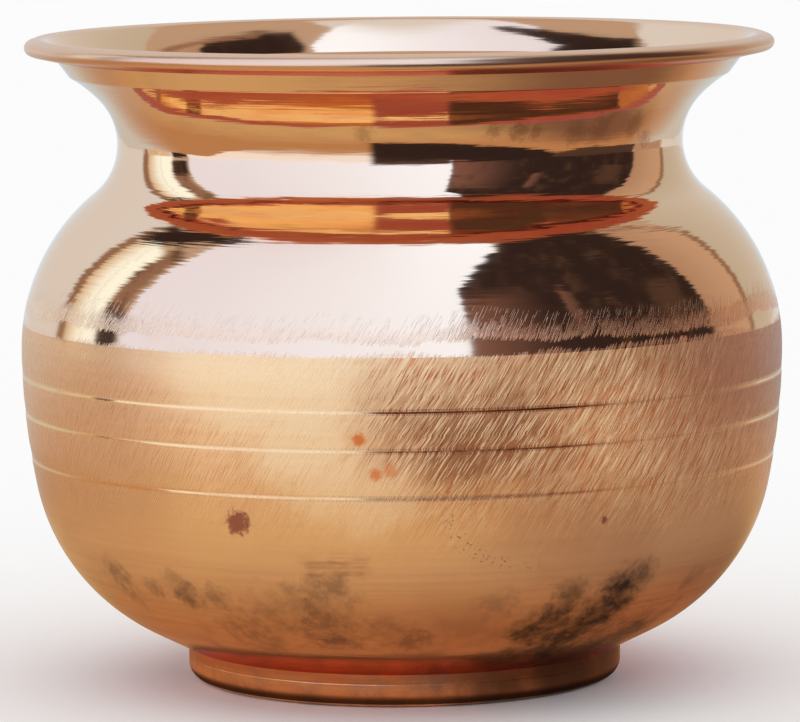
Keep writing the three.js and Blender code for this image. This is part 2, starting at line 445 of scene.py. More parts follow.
class Bench:
    """Adds nodes to a tree and joins them, so that a finish reads from top to bottom."""

    def __init__(self, tree):
        self.tree = tree

    def feed(self, socket, value):
        """Joins a socket to another node, or sets it. A colour is given by its three parts."""
        if isinstance(value, bpy.types.NodeSocket):
            self.tree.links.new(value, socket)
        elif value is not None:
            socket.default_value = (*value, 1.0) if socket.type == "RGBA" else value

    def add(self, kind, inputs=None, **settings):
        node = self.tree.nodes.new("ShaderNode" + kind)
        for name, value in settings.items():
            setattr(node, name, value)
        for name, value in (inputs or {}).items():
            self.feed(node.inputs[name], value)
        return node

    def calc(self, operation, *values):
        node = self.add("Math", operation=operation)
        for socket, value in zip(node.inputs, values):
            self.feed(socket, value)
        return node.outputs["Value"]

    def times(self, first, second):
        return self.calc("MULTIPLY", first, second)

    def scaled(self, value, factor, start):
        """A value times a factor, added to a start."""
        return self.calc("MULTIPLY_ADD", value, factor, start)

    def gap(self, first, second):
        """How far two values are apart."""
        return self.calc("ABSOLUTE", self.calc("SUBTRACT", first, second))

    def without(self, mask):
        return self.calc("SUBTRACT", 1.0, mask)

    def most(self, strongest, *others):
        """The strongest of some masks at each point."""
        for mask in others:
            strongest = self.calc("MAXIMUM", strongest, mask)
        return strongest

    def vector(self, operation, *values, scale=None):
        node = self.add("VectorMath", operation=operation)
        for socket, value in zip(node.inputs, values):
            self.feed(socket, value)
        if scale is not None:
            self.feed(node.inputs["Scale"], scale)
        return node.outputs["Value" if operation in {"LENGTH", "DISTANCE", "DOT_PRODUCT"} else "Vector"]

    def ramp(self, value, low, high, start=0.0, stop=1.0):
        """Goes smoothly from start to stop as the value goes from low to high."""
        node = self.add("MapRange", interpolation_type="SMOOTHSTEP")
        names = ("Value", "From Min", "From Max", "To Min", "To Max")
        for name, number in zip(names, (value, low, high, start, stop)):
            self.feed(node.inputs[name], number)
        return node.outputs["Result"]

    def change(self, value, limits, start=0.0, stop=1.0):
        """The same between two limits in millimetres."""
        low, high = limits
        return self.ramp(value, low * MM, high * MM, start, stop)

    def between(self, mask, start, stop):
        """A value that goes from start to stop with a mask."""
        return self.ramp(mask, 0.0, 1.0, start, stop)

    def noise(self, vector, scale, detail=2.0, roughness=0.5):
        inputs = {"Vector": vector, "Scale": scale, "Detail": detail, "Roughness": roughness}
        return self.add("TexNoise", inputs).outputs["Fac"]

    def blend(self, factor, first, second, **settings):
        node = self.add("Mix", data_type="RGBA", **settings)
        for number, value in ((0, factor), (6, first), (7, second)):
            self.feed(node.inputs[number], value)
        return node.outputs[2]

    def coat(self, base, *coats):
        """Lays colours over a base, each as its mask says."""
        for mask, tint in coats:
            base = self.blend(mask, base, tint)
        return base


# Ray depth over which a view has gone by way of more than one mirror.
ONE_MIRROR = 1.5
# How metallic the brushed copper is, and where the painted highlight lies.
SATIN_METAL = 0.62
PAINTED_HIGHLIGHT_METAL = 0.35
# Cells of noise to the radius of a stain.
STAIN_CELLS = 1.6
# Strokes of the wire brush: radians per metre up the pot and sizes. Then other reliefs, and where the noise
# turns into a stroke.
STROKE_TWIST = -12.0
STROKE_LONG = 3.4 * MM
STROKE_WIDE = 0.15 * MM
STROKE_DEPTH = 0.04 * MM
FRINGE_DEPTH = STROKE_DEPTH * 0.6
RIPPLE_DEPTH = 0.04 * MM
DIE_DEPTH = 0.005 * MM
STROKE_EDGE = (0.54, 0.64)
# The brushed belt: how far it goes past the seam, how ragged its edges are and how far they wander.
BELT_TOP = 2.0 * MM
BELT_EDGE = 0.9 * MM
BELT_RAGGED = 3.2 * MM
BELT_WANDER = 4.0 * MM
LOW_WANDER = 12.0 * MM
SEAM_RAGGED = 0.5 * MM
# Limits in millimetres between which a finish changes over, first from face to face and along the wall.
INSIDE_EDGE = (-1.0, 1.0)
BELT_LOW = (-28.0, -8.0)
SEAM_EDGE = (0.8, 1.2)
# To the right of the axis.
RUDDY_FROM = (5.0, 14.0)
# Shaded side, where the grooves' painted reflection turns dark.
SHADE_SIDE_FROM = (-6.0, -2.0)
SHADE_SIDE_TO = (36.0, 44.0)
CONTRAST_LEFT = (-38.0, -16.0)
CONTRAST_FROM = (-10.0, 5.0)
# Where the grooves' painted reflection fades out.
HIDDEN_FROM = (18.0, 34.0)
HIDDEN_TO = (45.0, 50.0)
# Browner towards the left edge, and painted shade at the right.
LEFT_BROWNING = (-42.0, -26.0)
PAINTED_SHADE_RIGHT = (27.0, 48.0)
# Where the grooves' painted reflection is dimmer, about the front.
DIMMED_MIDDLE = -8.0 * MM
DIMMED_REACH = (14.0, 24.0)
# Up from the ground.
# Painted shade at the right, rising up the belly.
PAINTED_SHADE_UP = (28.0, 47.0)
FILM_UP = (6.0, 34.0)
ROWS_UP = (10.0, 28.0)
PATCHES_UP = (7.0, 24.0)
SHEEN_UP = (11.0, 26.0)
RUST_UP = (6.0, 10.0)
RUST_WANDER = 3.0 * MM
FOOT_RED_UP = (3.2, 5.6)
FOOT_RED_WANDER = 2.0 * MM
# The handled film on the lip begins about its crest.
HANDLED_BELOW = 0.3 * MM
HANDLED_ABOVE = 0.8 * MM
# Burnished grooves: their edges as shares of their width, and how strong the painted reflection in each is
# on the shaded side.
GROOVE_EDGE = (0.42, 0.56)
GROOVE_SHARES = (0.4, 0.75, 1.0)


def new_group(name, vectors, numbers, output, kind):
    """A shader node group with named sockets, and the bench and the inner sockets to fill it with."""
    tree = bpy.data.node_groups.new(name, "ShaderNodeTree")
    for sockets, socket_type in ((vectors, "NodeSocketVector"), (numbers, "NodeSocketFloat")):
        for socket in sockets:
            tree.interface.new_socket(socket, in_out="INPUT", socket_type=socket_type)
    tree.interface.new_socket(output, in_out="OUTPUT", socket_type=kind)
    entry = tree.nodes.new("NodeGroupInput").outputs
    leave = tree.nodes.new("NodeGroupOutput").inputs[output]
    return tree, Bench(tree), entry, leave


def make_turning_lines(name):
    """A normal that wavers from row to row, as the lathe leaves it."""
    tree, bench, entry, leave = new_group(
        name, ("Place",), ("Rows", "Breaks", "Sideways", "Upright"), "Normal", "NodeSocketVector")
    ways = bench.add("CombineXYZ", {"X": entry["Breaks"], "Y": entry["Breaks"], "Z": entry["Rows"]})
    place = bench.vector("MULTIPLY", entry["Place"], ways.outputs["Vector"])
    noise = bench.add("TexNoise", {"Vector": place, "Scale": 1.0, "Detail": 3.0, "Roughness": 0.6})
    waver = bench.vector("SUBTRACT", noise.outputs["Color"], (0.5, 0.5, 0.5))
    parts = bench.add("SeparateXYZ", {"Vector": waver}).outputs
    normal = bench.add("NewGeometry").outputs["Normal"]
    side = bench.vector("NORMALIZE", bench.vector("CROSS_PRODUCT", (0.0, 0.0, 1.0), normal))
    upright = bench.vector("CROSS_PRODUCT", normal, side)
    sway = bench.vector("SCALE", side, scale=bench.times(parts["X"], entry["Sideways"]))
    tilt = bench.vector("SCALE", upright, scale=bench.times(parts["Y"], entry["Upright"]))
    swayed = bench.vector("ADD", normal, bench.vector("ADD", sway, tilt))
    bench.feed(leave, bench.vector("NORMALIZE", swayed))
    return tree


def make_brush_strokes(name):
    """Separate slanting strokes of a wire brush, as a mask."""
    tree, bench, entry, leave = new_group(
        name, ("Place",), ("Twist", "Long", "Wide"), "Stroke", "NodeSocketFloat")
    rise = bench.add("SeparateXYZ", {"Vector": entry["Place"]}).outputs["Z"]
    turn = bench.times(rise, entry["Twist"])
    turned = bench.add(
        "VectorRotate", {"Vector": entry["Place"], "Axis": (0.0, 0.0, 1.0), "Angle": turn},
        rotation_type="AXIS_ANGLE",
    )
    across, along = (bench.calc("DIVIDE", 1.0, entry[size]) for size in ("Wide", "Long"))
    ways = bench.add("CombineXYZ", {"X": across, "Y": across, "Z": along})
    place = bench.vector("MULTIPLY", turned.outputs["Vector"], ways.outputs["Vector"])
    bench.feed(leave, bench.ramp(bench.noise(place, 1.0, 0.0), *STROKE_EDGE))
    return tree


def make_stain(name):
    """A ragged spot round a point, as a mask."""
    tree, bench, entry, leave = new_group(
        name, ("Position", "Centre"), ("Radius", "Ragged", "Soft"), "Mask", "NodeSocketFloat")
    distance = bench.vector("DISTANCE", entry["Position"], entry["Centre"])
    share = bench.calc("DIVIDE", distance, entry["Radius"])
    cells = bench.calc("DIVIDE", STAIN_CELLS, entry["Radius"])
    rough = bench.noise(entry["Position"], cells, 5.0, 0.65)
    edge = bench.scaled(bench.calc("SUBTRACT", rough, 0.5), entry["Ragged"], share)
    outer = bench.calc("ADD", 1.0, entry["Soft"])
    bench.feed(leave, bench.ramp(edge, bench.without(entry["Soft"]), outer, 1.0, 0.0))
    return tree


def new_material(name):
    """A material, the bench for its nodes and the sockets of its shader."""
    material = bpy.data.materials.new(name)
    material.use_nodes = True
    return material, Bench(material.node_tree), material.node_tree.nodes["Principled BSDF"].inputs


class Finish:
    """A new metal material with its coordinates and the shared effects at hand.

    The place is where a point would be on a straight drum, so that lines keep their length where the wall
    leans. Inside marks the faces that look at the middle of the pot.
    """

    def __init__(self, name, settings):
        self.material, self.bench, self.shader = new_material(name)
        bench = self.bench
        self.colours = settings.finish
        bench.feed(self.shader["Specular Tint"], self.colours.edge)
        self.position = bench.add("TexCoord").outputs["Object"]
        self.normal = bench.add("NewGeometry").outputs["Normal"]
        self.along = bench.add("Attribute", attribute_name="along").outputs["Fac"]
        parts = bench.add("SeparateXYZ", {"Vector": self.position}).outputs
        self.right, self.height = parts["X"], parts["Z"]
        self.outward = bench.vector("NORMALIZE", bench.vector("MULTIPLY", self.position, (1.0, 1.0, 0.0)))
        around = bench.vector("SCALE", self.outward, scale=settings.shells.belly_diameter / 2)
        rise = bench.add("CombineXYZ", {"Z": self.along}).outputs["Vector"]
        self.place = bench.vector("ADD", around, rise)
        pot = Pot(settings)
        from_middle = bench.vector("SUBTRACT", self.position, (0.0, 0.0, pot.line.at(pot.widest).y))
        facing = bench.vector("DOT_PRODUCT", from_middle, self.normal)
        self.inside = bench.change(facing, INSIDE_EDGE, 1.0, 0.0)

    def set(self, colour_now, roughness, normal, metallic=1.0):
        """Joins a finish to the shader. Copper that is mirrored in copper comes out deeper."""
        bench, colours = self.bench, self.colours
        path = bench.add("LightPath").outputs
        film = bench.ramp(self.streaks(60.0, 1400.0), 0.42, 0.7)
        depth = bench.blend(film, colours.deepening, colours.reddening)
        again = bench.calc("GREATER_THAN", path["Ray Depth"], ONE_MIRROR)
        depth = bench.blend(again, depth, colours.browning)
        deeper = bench.blend(
            path["Is Glossy Ray"], colour_now, depth, blend_type="MULTIPLY", clamp_result=True)
        joined = {"Base Color": deeper, "Metallic": metallic, "Roughness": roughness, "Normal": normal}
        for name, value in joined.items():
            bench.feed(self.shader[name], value)

    def effect(self, name, make, **inputs):
        """A shared effect, whose node group is made the first time it is asked for."""
        node = self.bench.add("Group", node_tree=bpy.data.node_groups.get(name) or make(name))
        for socket, value in inputs.items():
            self.bench.feed(node.inputs[socket.capitalize()], value)
        return node.outputs[0]

    def lines(self, rows, breaks, sideways, upright):
        return self.effect(
            "Turning Lines", make_turning_lines,
            place=self.place, rows=rows, breaks=breaks, sideways=sideways, upright=upright)

    def strokes(self, twist, long, wide):
        return self.effect(
            "Brush Strokes", make_brush_strokes, place=self.place, twist=twist, long=long, wide=wide)

    def stains(self, places, ragged, soft):
        """One mask for many spots.

        Each is given by its azimuth in degrees from the front to the right, its height and the pot's radius
        there, its own size, all three in millimetres, and its strength.
        """
        spots = []
        for azimuth, height, radius, size, strength in places:
            turn = math.radians(azimuth)
            centre = Vector((radius * math.sin(turn), -radius * math.cos(turn), height)) * MM
            spot = self.effect(
                "Stain", make_stain,
                position=self.position, centre=centre, radius=size * MM, ragged=ragged, soft=soft)
            spots.append(self.bench.times(spot, strength))
        return self.bench.most(*spots)

    def streaks(self, around, rise):
        """Noise that is drawn out round the pot, with cells per metre round it and up it."""
        ways = self.bench.vector("MULTIPLY", self.place, (around, around, rise))
        return self.bench.noise(ways, 1.0, 3.0, 0.6)

    def bump(self, height, distance, normal=None):
        inputs = {"Height": height, "Distance": distance, "Strength": 1.0, "Normal": normal}
        return self.bench.add("Bump", inputs).outputs["Normal"]


def brush_work(finish, joints):
    """Strokes of the wire brush and where they are: a ragged belt that leaves out the polished seam."""
    bench = finish.bench
    ridges = finish.strokes(STROKE_TWIST, STROKE_LONG, STROKE_WIDE)
    scratches = finish.strokes(STROKE_TWIST * 0.85, STROKE_LONG * 0.8, STROKE_WIDE * 1.25)
    ragged = bench.times(bench.calc("SUBTRACT", ridges, scratches), 0.5)
    stroke = bench.calc("ADD", ragged, 0.5)
    wander = bench.calc("SUBTRACT", finish.streaks(60.0, 20.0), 0.5)
    top = joints.seam_start + joints.seam_width + BELT_TOP
    drift = bench.scaled(wander, BELT_WANDER, bench.scaled(ragged, BELT_RAGGED, finish.along))
    above = bench.ramp(drift, top - BELT_EDGE, top + BELT_EDGE, 1.0, 0.0)
    away = bench.gap(finish.along, joints.seam_start + joints.seam_width / 2)
    away = bench.scaled(wander, BELT_WANDER, bench.scaled(ragged, SEAM_RAGGED, away))
    low = bench.change(bench.scaled(wander, LOW_WANDER, finish.along), BELT_LOW)
    zone = bench.times(bench.times(above, bench.change(away, SEAM_EDGE)), low)
    return stroke, bench.times(zone, bench.without(finish.inside))


def scratched_relief(bench, stroke, zone):
    """Height of the strokes about the middle of their depth, fading out where the brushing ends."""
    return bench.times(bench.calc("SUBTRACT", stroke, 0.5), zone)


def brush_over(finish, joints, clean, polish, dulling, lines):
    """Lets the brush run over polished metal. It is ruddier at the right, between the strokes too."""
    bench, colours = finish.bench, finish.colours
    stroke, zone = brush_work(finish, joints)
    ruddy = bench.change(finish.right, RUDDY_FROM, 0.0, 0.65)
    fringe = bench.times(bench.ramp(zone, 0.0, 0.4), bench.ramp(stroke, 0.15, 0.7, ruddy, 1.0))
    brushed = bench.blend(ruddy, colours.copper, colours.scratched)
    scratches = bench.times(zone, stroke)
    finish.set(
        bench.blend(fringe, clean, brushed),
        bench.scaled(scratches, dulling, polish),
        finish.bump(scratched_relief(bench, stroke, zone), FRINGE_DEPTH, lines),
        bench.between(scratches, 1.0, SATIN_METAL),
    )


NECK_SMUDGES = (
    (-7.0, 81.7, 41.7, 1.1, 0.4), (18.0, 81.7, 41.7, 1.0, 0.45), (23.2, 81.6, 41.6, 1.2, 0.6),
    (26.7, 81.4, 41.5, 1.0, 0.5), (36.0, 81.0, 41.4, 1.6, 0.35), (42.0, 81.4, 41.5, 2.0, 0.35),
    (52.0, 81.3, 41.5, 1.8, 0.45), (57.0, 79.6, 41.0, 1.2, 0.45),
)


def polished_copper(settings):
    """Mirror copper with turning lines, handled along the lip and brushed over just above the seam."""
    finish = Finish("polished_copper", settings)
    bench, colours = finish.bench, settings.finish
    tone = bench.ramp(bench.noise(finish.position, 30.0, 3.0), 0.45, 0.8, 0.0, 0.5)
    polish = bench.ramp(tone, 0.0, 0.5, 0.06, 0.09)
    pot = Pot(settings)
    crest = pot.crest - pot.widest
    handled = bench.ramp(finish.along, crest - HANDLED_BELOW, crest + HANDLED_ABOVE, 0.0, 0.22)
    smudges = bench.times(finish.stains(NECK_SMUDGES, 3.0, 0.7), bench.without(finish.inside))
    clean = bench.coat(
        colours.copper,
        (tone, colours.rosy),
        (bench.times(handled, 3.5), colours.handled),
        (smudges, colours.tarnish),
    )
    polish = bench.calc("ADD", polish, bench.scaled(smudges, 0.2, handled))
    faces_out = bench.vector("DOT_PRODUCT", finish.outward, finish.normal)
    upright = bench.ramp(faces_out, -0.1, 0.1, 0.03, 0.16)
    lines = finish.lines(rows=3600.0, breaks=80.0, sideways=0.015, upright=upright)
    brush_over(finish, settings.joints, clean, polish, 0.34, lines)
    return finish.material


SMUDGES = (
    (-54.6, 18.7, 49.2, 2.6, 0.86), (-52.8, 15.7, 47.0, 2.0, 0.59), (-45.5, 17.8, 48.6, 1.8, 0.69),
    (-40.0, 19.2, 49.5, 1.9, 0.69), (-38.6, 17.5, 48.4, 2.5, 0.90), (-32.2, 17.5, 48.4, 2.0, 0.65),
    (-22.4, 15.1, 46.6, 3.5, 0.51), (-18.3, 17.4, 48.3, 3.4, 0.49), (-12.1, 19.8, 49.8, 3.4, 0.73),
    (-14.4, 14.5, 46.0, 4.5, 0.78), (-12.4, 12.0, 43.5, 3.0, 0.86), (-28.1, 11.9, 43.3, 4.5, 0.59),
    (-3.2, 13.2, 44.8, 4.0, 0.51), (1.1, 11.6, 43.0, 3.5, 0.73), (15.3, 16.1, 47.4, 3.5, 0.49),
    (57.1, 17.5, 48.4, 2.5, 0.49),
)
SOOT = (
    (41.3, 19.6, 49.7, 2.2, 0.69), (38.1, 17.9, 48.7, 3.0, 1.00), (38.1, 15.6, 46.9, 3.2, 1.00),
    (36.2, 13.2, 44.8, 4.0, 1.00), (27.9, 17.8, 48.6, 2.2, 0.69), (27.1, 14.0, 45.5, 3.2, 0.90),
    (24.6, 12.1, 43.7, 3.6, 0.97), (32.0, 10.0, 41.0, 5.0, 1.00), (33.0, 7.5, 36.6, 6.5, 1.00),
    (22.6, 7.8, 37.3, 4.0, 0.76), (50.0, 9.0, 39.0, 6.0, 0.97), (44.0, 7.4, 36.6, 7.5, 1.00),
)
RED_SPOTS = ((-25.2, 28.98, 53.13, 1.6, 1.0), (31.3, 28.53, 53.04, 0.5, 1.0))
RED_STREAKS = (
    (-13.4, 23.2, 51.4, 1.9, 0.55), (-10.0, 23.3, 51.5, 1.9, 0.55), (-7.0, 23.3, 51.5, 1.6, 0.5),
)
HEAT_SPOTS = (
    (-6.3, 41.05, 54.74, 0.9, 1.0), (-3.9, 36.2, 54.28, 0.8, 0.9), (-1.8, 36.9, 54.35, 0.9, 0.6),
)
HEAT_TINT = ((20.0, 28.0, 53.0, 6.5, 0.40), (27.0, 25.0, 52.2, 7.0, 0.45), (34.0, 23.0, 51.5, 7.0, 0.40))
# Patches of painted highlight, where the satin belly would mirror the window's light.
PAINTED_HIGHLIGHTS = (
    (-31.0, 49.5, 54.9, 5.0, 0.8), (-23.0, 47.0, 55.0, 7.0, 1.0), (-15.0, 46.0, 55.0, 7.5, 1.0),
    (-15.0, 40.5, 54.7, 6.5, 1.0), (-11.0, 35.5, 54.2, 6.0, 0.75), (-5.0, 33.0, 53.9, 5.5, 0.6),
)
# Spots of painted shade on the satin, where it would mirror the dark board in front.
PAINTED_SHADE_SPOTS = (
    (2.5, 41.0, 54.7, 4.5, 0.55), (8.0, 39.2, 54.6, 5.5, 1.0), (15.0, 41.0, 54.8, 5.5, 0.95),
    (21.0, 38.0, 54.5, 4.5, 0.6),
)
PEPPER = (
    (7.0, 29.7, 53.3, 1.3, 0.7), (7.7, 27.2, 52.7, 1.3, 0.8), (9.3, 26.3, 52.5, 1.3, 0.8),
    (10.6, 25.3, 52.2, 1.2, 0.8), (12.6, 24.2, 51.8, 1.2, 0.8), (15.8, 23.3, 51.5, 1.3, 0.8),
    (20.1, 22.7, 51.2, 1.3, 0.7),
)


def burnished_groove_reflections(finish, shells, shade_side):
    """Where the turned grooves are burnished and carry a painted reflection: weaker at the front, and
    fading out towards the right.
    """
    bench, right = finish.bench, finish.right
    front_dimming = bench.change(bench.gap(right, DIMMED_MIDDLE), DIMMED_REACH, 0.6, 1.0)
    inner, outer = (shells.groove_width * share for share in GROOVE_EDGE)
    groove_reflections = []
    for drop, share in zip(shells.groove_drops, GROOVE_SHARES):
        mask = bench.ramp(bench.gap(finish.along, -drop), inner, outer, 1.0, 0.0)
        groove_reflections.append(bench.times(mask, bench.between(shade_side, front_dimming, share)))
    hidden = bench.times(bench.change(right, HIDDEN_FROM), bench.change(right, HIDDEN_TO, 1.0, 0.0))
    return bench.times(bench.most(*groove_reflections), bench.between(hidden, 1.0, 0.25))


def brushed_copper(settings):
    """Wire-brushed belly with burnished grooves that carry a painted reflection, painted highlights and
    painted shade on the satin, smoother and filmed over towards the foot, and stained.
    """
    finish = Finish("brushed_copper", settings)
    bench, colours = finish.bench, settings.finish
    position, right, height = finish.position, finish.right, finish.height
    stroke, zone = brush_work(finish, settings.joints)
    # Shaded side: the grooves' painted reflection is dark there.
    shade_side = bench.times(bench.change(right, SHADE_SIDE_FROM), bench.change(right, SHADE_SIDE_TO, 1.0, 0.0))
    grooves = burnished_groove_reflections(finish, settings.shells, shade_side)
    # Stroke contrast: weaker towards the left, full at the right.
    stroke_contrast = bench.times(
        bench.change(right, CONTRAST_FROM, 0.35, 1.0), bench.change(right, CONTRAST_LEFT, 0.2, 1.0))
    relief = bench.times(scratched_relief(bench, stroke, zone), bench.without(grooves))
    relief = bench.times(relief, stroke_contrast)

    in_scratch = bench.times(bench.ramp(stroke, 0.05, 0.75, 1.0, 0.0), stroke_contrast)
    # Painted highlights: bright stroke ridges at the right, and the patches of painted highlight.
    ridges = bench.times(bench.ramp(stroke, 0.6, 0.95), bench.change(right, CONTRAST_FROM, 0.0, 0.75))
    painted_highlight = bench.most(finish.stains(PAINTED_HIGHLIGHTS, 0.9, 0.6), bench.times(ridges, zone))
    # Painted shade, strongest in the scratches.
    painted_shade = bench.times(finish.stains(PAINTED_SHADE_SPOTS, 1.3, 0.7), bench.ramp(stroke, 0.4, 0.9, 0.95, 0.15))
    # Painted shade on the dark right side, rising up the belly, browner towards the left edge, and heat
    # tint spots.
    shade_and_heat_tint = bench.times(bench.change(right, PAINTED_SHADE_RIGHT, 0.0, 0.9), bench.change(height, PAINTED_SHADE_UP, 0.12, 1.0))
    shade_and_heat_tint = bench.most(shade_and_heat_tint, bench.change(right, LEFT_BROWNING, 0.42, 0.0), finish.stains(HEAT_TINT, 1.4, 0.9))
    film = bench.ramp(finish.streaks(40.0, 420.0), 0.3, 0.7, 0.45, 1.0)
    film = bench.times(bench.change(height, FILM_UP, 1.0, 0.0), film)
    rust = bench.change(bench.scaled(finish.streaks(60.0, 300.0), RUST_WANDER, height), RUST_UP)

    rows = bench.ramp(finish.streaks(14.0, 1500.0), 0.4, 0.75, 0.0, 0.35)
    rows = bench.times(rows, bench.change(height, ROWS_UP, 1.0, 0.15))
    patches = bench.ramp(bench.noise(position, 60.0, 5.0, 0.6), 0.45, 0.75)
    patches = bench.times(patches, bench.change(height, PATCHES_UP, 0.7, 0.0))
    cloud = bench.ramp(bench.noise(position, 420.0, 4.0, 0.65), 0.3, 0.62, 0.35, 1.0)
    patches = bench.most(patches, rows, bench.times(finish.stains(SMUDGES, 3.0, 0.85), cloud))
    soot_and_shade = bench.times(finish.stains(SOOT, 2.4, 0.85), bench.ramp(cloud, 0.35, 1.0, 0.75, 1.0))
    drawn_out = bench.ramp(finish.streaks(60.0, 1200.0), 0.4, 0.65)
    red_streaks = bench.times(finish.stains(RED_STREAKS, 1.5, 0.7), drawn_out)
    grains = bench.add("TexVoronoi", {"Vector": position, "Scale": 1700.0}).outputs["Distance"]
    pepper = bench.times(bench.ramp(grains, 0.16, 0.34, 1.0, 0.0), finish.stains(PEPPER, 1.5, 0.6))
    stains = (
        (patches, colours.tarnish),
        (soot_and_shade, colours.soot_and_shade),
        (red_streaks, colours.red_stain),
        (finish.stains(RED_SPOTS, 2.6, 0.35), colours.red_stain),
        (finish.stains(HEAT_SPOTS, 1.6, 0.5), colours.orange_stain),
        (pepper, colours.tarnish),
    )
    spun = bench.ramp(finish.streaks(14.0, 900.0), 0.4, 0.75)
    colour_now = bench.coat(
        colours.golden,
        (zone, bench.blend(in_scratch, colours.brushed, colours.scratched)),
        (painted_highlight, colours.painted_highlight),
        (painted_shade, colours.painted_shade),
        (shade_and_heat_tint, colours.shade_and_heat_tint),
        # Painted reflection in the grooves: bright copper, dark scratched colour on the shaded side.
        (grooves, bench.blend(shade_side, colours.brushed, colours.scratched)),
        (film, colours.orange_film),
        (bench.between(rust, 0.75, 0.0), colours.foot_red),
        *stains,
        (finish.inside, bench.blend(spun, colours.copper, colours.rosy)),
    )

    satin = bench.scaled(bench.scaled(stroke, 0.22, 0.08), zone, 0.16)
    satin = bench.scaled(bench.most(*(mask for mask, _ in stains)), 0.2, satin)
    satin = bench.times(satin, bench.between(grooves, 1.0, 0.35))
    matt = bench.most(zone, bench.change(height, SHEEN_UP, 0.1, 0.75))
    matt = bench.times(matt, bench.without(grooves))
    metal = bench.between(matt, 1.0, bench.between(painted_highlight, SATIN_METAL, PAINTED_HIGHLIGHT_METAL))
    lines = finish.lines(rows=2200.0, breaks=90.0, sideways=0.03, upright=0.12)
    finish.set(
        colour_now,
        bench.between(finish.inside, satin, 0.18),
        finish.bump(relief, STROKE_DEPTH, lines),
        bench.between(finish.inside, metal, 1.0),
    )
    return finish.material


def seam_filler(settings):
    """Filler that was polished flush with the copper."""
    finish = Finish("seam_filler", settings)
    bench, colours = finish.bench, settings.finish
    tone = bench.ramp(bench.noise(finish.position, 90.0, 3.0), 0.4, 0.7)
    clean = bench.blend(tone, colours.copper, colours.rosy)
    lines = finish.lines(rows=1400.0, breaks=90.0, sideways=0.02, upright=0.03)
    brush_over(finish, settings.joints, clean, 0.09, 0.30, lines)
    return finish.material


# Painted shade on the foot's right side, where it would mirror the pot's shadow on the board.
FOOT_PAINTED_SHADE = ((32.0, 3.0, 31.4, 8.0, 0.62), (48.0, 3.0, 31.4, 10.0, 0.9), (68.0, 3.0, 31.4, 9.0, 0.8))


def foot_copper(settings):
    """Turned copper of the foot, with red oxide under the bowl, browned by wear, and painted shade at the
    right.
    """
    finish = Finish("foot_copper", settings)
    bench, colours = finish.bench, settings.finish
    red = bench.scaled(finish.streaks(60.0, 900.0), FOOT_RED_WANDER, finish.height)
    film = bench.ramp(bench.noise(finish.position, 90.0, 5.0, 0.65), 0.36, 0.7, 0.0, 0.8)
    # Painted shade on the right side of the foot.
    soot_and_shade = finish.stains(FOOT_PAINTED_SHADE, 1.2, 0.8)
    colour_now = bench.coat(
        colours.foot,
        (bench.change(red, FOOT_RED_UP), colours.foot_red),
        (film, colours.tarnish),
        (soot_and_shade, colours.soot_and_shade),
    )
    roughness = bench.scaled(bench.most(film, soot_and_shade), 0.2, 0.16)
    lines = finish.lines(rows=2600.0, breaks=110.0, sideways=0.05, upright=0.10)
    finish.set(colour_now, roughness, lines)
    return finish.material


def dull_filler(settings):
    """Braze fillet as the torch left it, with a soft ripple."""
    finish = Finish("dull_filler", settings)
    bench, colours = finish.bench, settings.finish
    ripple = bench.noise(finish.position, 500.0, 3.0)
    colour_now = bench.blend(ripple, colours.filler, colours.tarnish)
    finish.set(colour_now, bench.ramp(ripple, 0.3, 0.7, 0.35, 0.55), finish.bump(ripple, RIPPLE_DEPTH))
    return finish.material


def drawn_wire(settings):
    """Plain copper wire with die lines."""
    finish = Finish("drawn_wire", settings)
    bench, colours = finish.bench, settings.finish
    die = finish.streaks(20.0, 5000.0)
    colour_now = bench.blend(die, colours.foot, colours.rosy)
    finish.set(colour_now, bench.ramp(die, 0.2, 0.8, 0.25, 0.4), finish.bump(die, DIE_DEPTH))
    return finish.material


# Rounding of a groove's floor and brims, as shares of its width, and of the fillet, as a share of its leg.
GROOVE_FLOOR_EASE = 0.3
GROOVE_BRIM_EASE = 0.2
LINE_FLOOR_EASE = 0.3
LINE_BRIM_EASE = 0.1
FILLET_EASE = 0.4
# The wire's round is drawn up to its last step, which closes it.
WIRE_SWEEP = math.tau * 23 / 24


class LOTA_OT_neck_shell(bpy.types.Operator):
    """Spin the shoulder, neck, flared mouth and rolled lip from one sheet"""

    bl_idname = "lota.neck_shell"
    bl_label = "Neck Shell"

    def execute(self, context):
        settings = context.scene.lota
        pot = Pot(settings)
        sheet = settings.shells.sheet
        section = Section()
        section.follow(pot.line, pot.seam_high, pot.raw_edge_inside, 0.0, pot.widest)
        section.follow(pot.line, pot.raw_edge_outside, pot.seam_high - sheet, sheet, pot.widest)
        copper = polished_copper(settings)
        add_piece(context, "polished_neck", section, copper, "neck_shell")
        return {"FINISHED"}


